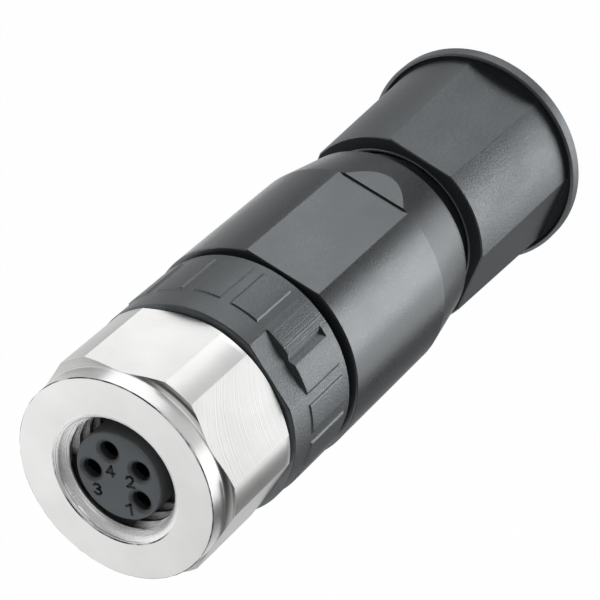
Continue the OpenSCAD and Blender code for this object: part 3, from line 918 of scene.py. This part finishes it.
def plating_with_painted_light(graph, on_flat, in_bore):
    """Colour of the plating: cloudy at random, with painted shade to one side and in the hollow, and painted
    light in the bore.
    """
    x, y, z = graph.axes()
    # Painted shade: darker towards one side
    side_shade = graph.calc("MULTIPLY_ADD", x, 50, graph.product(y, -15))
    # Painted shade in the hollow behind the collar
    hollow = graph.product(graph.within(z, LEDGE_Z - 0.01, COLLAR_END + 0.01),
                           graph.above(graph.radius(), COLLAR_R + 0.04),
                           graph.calc("SUBTRACT", 1.0, on_flat))
    # Painted light in the bore
    painted_light_and_shade = graph.calc("MULTIPLY_ADD", in_bore, 1.3, side_shade)
    painted_light_and_shade = graph.calc("MULTIPLY_ADD", hollow, -1.2, painted_light_and_shade)
    share = graph.calc("ADD", graph.noise(260, 3), painted_light_and_shade)
    return graph.tint(share, (0.56, 0.56, 0.555), (0.76, 0.76, 0.755), clamp=False)


def edge_dark_and_thread_shade(graph, color, in_bore):
    """Darker in broken patches along the worn front edges and on one side of the mouth, and painted shade on
    one side of the thread deep down.
    """
    x, y, z = graph.axes()
    radius = graph.radius()
    rim = graph.above(radius, COLLAR_R - 0.05)
    mouth = graph.within(radius, MOUTH_R - 0.05, MOUTH_R + 0.03)
    mouth = graph.product(mouth, graph.span(y, 0.5 * MM, 2 * MM))
    edge = graph.product(graph.above(z, NUT_TOP - 0.065), graph.calc("MAXIMUM", rim, mouth))
    edge_dark = graph.product(edge, graph.span(graph.noise(800, 4), 0.36, 0.56))
    # Painted shade on one side of the thread deep down
    side = graph.product(graph.span(x, -2.4 * MM, -1.4 * MM), graph.span(y, 1.2 * MM, 1.7 * MM))
    thread_shade = graph.product(in_bore, graph.span(z, 42.16 * MM, 42.08 * MM), side)
    return graph.tint(thread_shade, graph.tint(edge_dark, color, EDGE_DARK), THREAD_SHADE)


def plated():
    """Plated nut: cutter arcs on the milled flats, finer turning rings elsewhere and a gritty bore."""
    mat, graph, bsdf = material("plated_nut")
    bsdf["Metallic"].default_value = 1.0
    on_flat, arcs = milling(graph)
    radius = graph.radius()
    in_bore = graph.below(radius, MOUTH_R - 0.01)
    rings = graph.strands(graph.calc("ADD", radius, graph.axes()[2]), 12000, 3)
    rings = graph.product(rings, graph.calc("MULTIPLY_ADD", in_bore, 2.5, 0.25))
    rings = graph.calc("MULTIPLY_ADD", graph.product(in_bore, graph.noise(9000)), 3.0, rings)
    graph.feed(bsdf["Normal"], graph.bump(graph.mix(on_flat, rings, arcs), 0.42, 0.02))
    flat_rough = graph.calc("MULTIPLY_ADD", arcs, 0.08, 0.08)
    turned_rough = graph.calc("MULTIPLY_ADD", in_bore, 0.14, 0.29)
    graph.feed(bsdf["Roughness"], graph.calc("MULTIPLY_ADD", on_flat, flat_rough, turned_rough))
    graph.feed(bsdf["Base Color"], edge_dark_and_thread_shade(graph, plating_with_painted_light(graph, on_flat, in_bore), in_bore))
    return mat


def simple_metal(name, color, rough, shaded_bores=()):
    """Plain metal with faint drawing marks, and painted shade within the narrow bores at the given places.
    """
    mat, graph, bsdf = material(name)
    bsdf["Metallic"].default_value = 1.0
    marks = graph.noise(2500, stretch=(1, 1, 0.2))
    shade = graph.tint(marks, tuple(c * 0.85 for c in color), color)
    if shaded_bores:
        # Painted shade inside the narrow bores
        shade = graph.tint(graph.in_holes(shaded_bores, 0.67, NUT_TOP + 0.1), shade, (0.32, 0.33, 0.34))
    graph.feed(bsdf["Base Color"], shade)
    graph.feed(bsdf["Roughness"], graph.span(marks, 0.0, 1.0, rough - 0.06, rough + 0.06))
    return mat


metal = plated()
brass = simple_metal("contact_gold", (0.80, 0.60, 0.28), 0.25, CONTACTS)
steel = simple_metal("screw_steel", (0.68, 0.68, 0.69), 0.3)


# Materials on the solids and on the pieces that stand for them

LOOKS = {
    "nut_snap_ring": steel, "plug_seal": rubber, "socket_insert": face_grey,
    "contact_1": brass, "contact_2": brass, "contact_3": brass, "contact_4": brass,
    "terminal_carrier": carrier_grey, "terminal_screws": steel, "housing_seal": rubber,
    "cable_seal": rubber, "pinch_ring": pale, "coupling_nut": metal, "grip_body": grip_grey,
    "rear_housing": grey, "clamp_nut": clamp_grey,
}
for node_name, look in LOOKS.items():
    node_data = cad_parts[node_name].data
    node_data.materials.clear()
    node_data.materials.append(look)
SHELL_LOOKS = ((nut, metal), (insert, face_grey), (grip, grip_grey), (housing, grey), (clamp, clamp_grey))
for piece, look in SHELL_LOOKS:
    piece.data.materials.append(look)
for piece in numbers:
    piece.data.materials.append(ink)


def paint_clamp_shade():
    """The clamp's front and the groove behind its rim take a black material, as painted shade."""
    # Painted shade on the faces of the clamp's front and of the groove
    clamp.data.materials.append(clamp_painted_shade)
    for face in clamp.data.polygons:
        radius, height = face.center.xy.length / MM, face.center.z / MM
        front = height > CLAMP_TOP - 0.005 and radius > CLAMP_LIP_R + 0.07
        groove = 6.3 < radius < FLANGE_R - 0.25 and FLANGE_T - 0.01 < height < FLANGE_LIP - 0.05
        if front or groove:
            face.material_index = 1


paint_clamp_shade()


# Floor

# The floor lies just under the flange, and shines white to the camera but for a faint shadow
FLOOR_HALF, FLOOR_Z = 3000, -0.03
FLOOR_GLOW = 0.985


def floor():
    s, z = FLOOR_HALF * MM, FLOOR_Z * MM
    mesh = bpy.data.meshes.new("floor")
    mesh.from_pydata([(-s, -s, z), (s, -s, z), (s, s, z), (-s, s, z)], [], [(0, 1, 2, 3)])
    obj = bpy.data.objects.new("floor", mesh)
    bpy.context.scene.collection.objects.link(obj)
    mat, graph, bsdf = material("pale_floor")
    bsdf["Base Color"].default_value = (0.85, 0.85, 0.85, 1)
    bsdf["Roughness"].default_value = 0.9
    glow = graph.nodes.new("ShaderNodeEmission")
    glow.inputs["Color"].default_value = (1, 1, 1, 1)
    path = graph.nodes.new("ShaderNodeLightPath")
    mixed = graph.nodes.new("ShaderNodeMixShader")
    graph.feed(mixed.inputs["Fac"], graph.product(path.outputs["Is Camera Ray"], FLOOR_GLOW))
    graph.feed(mixed.inputs[1], graph.nodes["Principled BSDF"].outputs["BSDF"])
    graph.feed(mixed.inputs[2], glow.outputs["Emission"])
    graph.feed(graph.nodes["Material Output"].inputs["Surface"], mixed.outputs["Shader"])
    mesh.materials.append(mat)
    obj.visible_glossy = False
    obj.visible_shadow = False


floor()


# World

SOFT_LEVEL = 0.65


def studio():
    """White to the camera. Mirror rays see a backdrop, and soft light comes evenly from all sides."""
    world = bpy.data.worlds.new("studio")
    bpy.context.scene.world = world
    world.use_nodes = True
    graph = Graph(world.node_tree)
    path = graph.nodes.new("ShaderNodeLightPath").outputs
    way = graph.nodes.new("ShaderNodeTexCoord").outputs["Generated"]
    # The backdrop is white behind the object and dim in front of it, with a dark patch above the front
    behind = graph.measure("DOT_PRODUCT", way, (0.63, 0.53, 0.57))
    backdrop = graph.span(behind, -0.45, 0.80, 0.15, 1.15, "SMOOTHSTEP")
    above_front = graph.measure("DOT_PRODUCT", way, (-0.25, -0.63, 0.73))
    patch = graph.span(above_front, 0.15, 0.65, 1.0, 0.06, "SMOOTHSTEP")
    light = graph.mix(path["Is Glossy Ray"], SOFT_LEVEL, graph.product(backdrop, patch))
    seen = graph.calc("MAXIMUM", path["Is Camera Ray"], path["Is Transmission Ray"])
    back = graph.nodes["Background"].inputs
    back["Color"].default_value = (1, 1, 1, 1)
    graph.feed(back["Strength"], graph.calc("MAXIMUM", seen, light))


studio()


# Lamps

LAMP_AIM = Vector((0, 0, 21))
LAMP_DISTANCE = 500


def softbox(name, azimuth, elevation, wide, tall, radiance):
    """Rectangular lamp that looks at the middle of the object."""
    light = bpy.data.lights.new(name, "AREA")
    light.shape = "RECTANGLE"
    light.size = wide * MM
    light.size_y = tall * MM
    light.energy = radiance * math.pi * light.size * light.size_y
    obj = bpy.data.objects.new(name, light)
    a, e = math.radians(azimuth), math.radians(elevation)
    way = Vector((math.cos(a) * math.cos(e), math.sin(a) * math.cos(e), math.sin(e)))
    obj.location = (LAMP_AIM + way * LAMP_DISTANCE) * MM
    obj.rotation_mode = "QUATERNION"
    obj.rotation_quaternion = way.to_track_quat("Z", "Y")
    bpy.context.scene.collection.objects.link(obj)
    obj.visible_camera = False
    return obj


def lamps():
    """The brighter lamps are flagged off the nut, and softer ones light the nut and the insert alone."""
    flagged = bpy.data.collections.new("flagged_from_key")
    flagged.objects.link(nut)
    flagged.collection_objects[0].light_linking.link_state = "EXCLUDE"
    nut_only = bpy.data.collections.new("nut_only")
    nut_only.objects.link(nut)
    nut_only.objects.link(insert)
    for lamp in (
        softbox("lamp_key", 204, -47, 280, 360, 1.95),
        softbox("lamp_side", 190, -47, 500, 400, 1.2),
        softbox("lamp_top", 293, -40, 400, 270, 1.6),
        softbox("lamp_rim", 62, -47, 300, 360, 0.65),
    ):
        lamp.light_linking.receiver_collection = flagged
    for lamp in (
        softbox("metal_right", 188, -46, 400, 500, 1.65),
        softbox("metal_low", 105, -46, 300, 500, 0.5),
        softbox("metal_front", 250, -46, 360, 500, 0.6),
        softbox("metal_left", 306, -44, 450, 500, 1.38),
        softbox("metal_face", 249, 25, 600, 800, 1.1),
    ):
        lamp.light_linking.receiver_collection = nut_only


lamps()


# Camera at the photo's angle

CAMERA_EYE = Vector((-38.426, -100.288, 138.494))
CAMERA_AIM = Vector((0.453, -0.310, 22.490))
CAMERA_ROLL = -131.93
# Focal length in pixels of a picture 600 pixels wide
FOCAL_PIXELS, PICTURE_PIXELS = 2650, 600


def camera():
    data = bpy.data.cameras.new("camera")
    data.sensor_width = 36
    data.lens = data.sensor_width * FOCAL_PIXELS / PICTURE_PIXELS
    data.clip_start = 5 * MM
    data.clip_end = 20000 * MM
    obj = bpy.data.objects.new("camera", data)
    level = (CAMERA_EYE - CAMERA_AIM).to_track_quat("Z", "Y").to_matrix()
    turn = level @ Matrix.Rotation(math.radians(CAMERA_ROLL), 3, "Z")
    obj.matrix_world = Matrix.Translation(CAMERA_EYE * MM) @ turn.to_4x4()
    bpy.context.scene.collection.objects.link(obj)
    bpy.context.scene.camera = obj


camera()
bpy.context.scene.view_settings.view_transform = "Standard"
